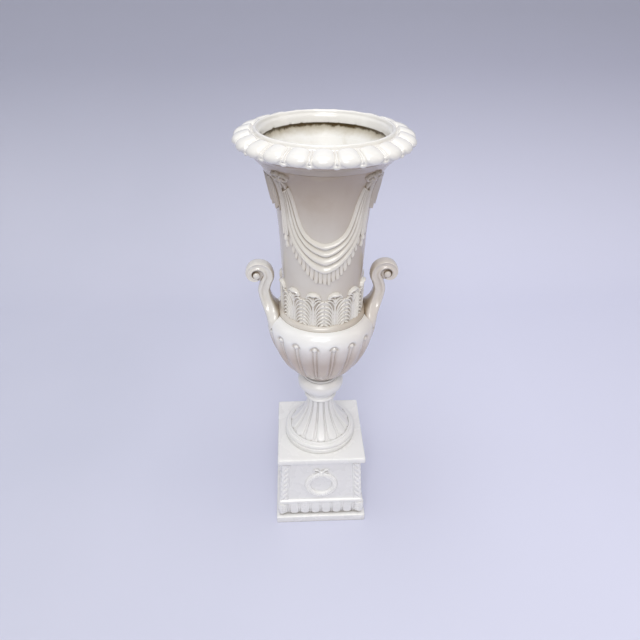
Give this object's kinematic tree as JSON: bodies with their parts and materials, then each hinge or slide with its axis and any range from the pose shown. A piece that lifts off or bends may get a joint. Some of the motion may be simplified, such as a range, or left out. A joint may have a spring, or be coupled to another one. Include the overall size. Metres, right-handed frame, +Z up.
{
  "type": "pedestal vase",
  "caption": "Tall white glazed ceramic krater urn with scroll handles, lobed rim, draped swags and gadrooned bowl, standing loose on a square pedestal with wreaths.",
  "frame": {"origin": "middle of the pedestal's underside, on the surface that it stands on", "axes": "+Z up along the vase's axis, +X through the right handle, -Y towards the front, where the camera stood"},
  "size_m": [0.2806, 0.281, 0.824],
  "materials": {
    "glaze_urn": "glossy cream-white glaze, faintly mottled, warm staining in the grooves",
    "glaze_pedestal": "glossy cream-white glaze with worn, slightly warmer edges",
    "glaze_relief": "glossy cream-white glaze, pooled warm grey in the folds",
    "steel": "dull zinc-plated steel",
    "rubber": "black rubber",
    "packing": "dark, dirty packing ring"
  },
  "bodies": {
    "pedestal": {"plinth_base_slab": "glaze_pedestal", "plinth_tongue_moulding": "glaze_pedestal", "plinth_dado": "glaze_pedestal", "plinth_top_slab": "glaze_pedestal", "corner_leaves_front_left": "glaze_relief", "corner_leaves_front_right": "glaze_relief", "corner_leaves_back_left": "glaze_relief", "corner_leaves_back_right": "glaze_relief", "wreath_front": "glaze_relief", "wreath_back": "glaze_relief", "wreath_left": "glaze_relief", "wreath_right": "glaze_relief", "wreath_bow_front": "glaze_relief", "wreath_bow_back": "glaze_relief", "wreath_bow_left": "glaze_relief", "wreath_bow_right": "glaze_relief"},
    "urn": {"foot": "glaze_urn", "bowl": "glaze_urn", "neck": "glaze_urn", "rim_collar": "glaze_urn", "handle_left": "glaze_urn", "handle_right": "glaze_urn", "acanthus_frieze": "glaze_relief", "swag_front": "glaze_relief", "swag_back": "glaze_relief", "swag_fringe_front": "glaze_relief", "swag_fringe_back": "glaze_relief", "knot_front_left": "glaze_relief", "knot_front_right": "glaze_relief", "knot_back_left": "glaze_relief", "knot_back_right": "glaze_relief", "tail_front_left": "glaze_relief", "tail_front_right": "glaze_relief", "tail_back_left": "glaze_relief", "tail_back_right": "glaze_relief", "jabot_left": "glaze_relief", "jabot_right": "glaze_relief", "packing_ring": "packing", "rubber_washer_upper": "rubber", "rubber_washer_lower": "rubber", "washer_upper": "steel", "washer_lower": "steel", "nut_upper": "steel", "nut_lower": "steel", "tie_rod": "steel"}
  },
  "joints": [
    {"name": "urn_lift", "type": "slide", "parent": "pedestal", "child": "urn", "axis": [0, 0, 1], "range_m": [0, 0.08]}
  ]
}
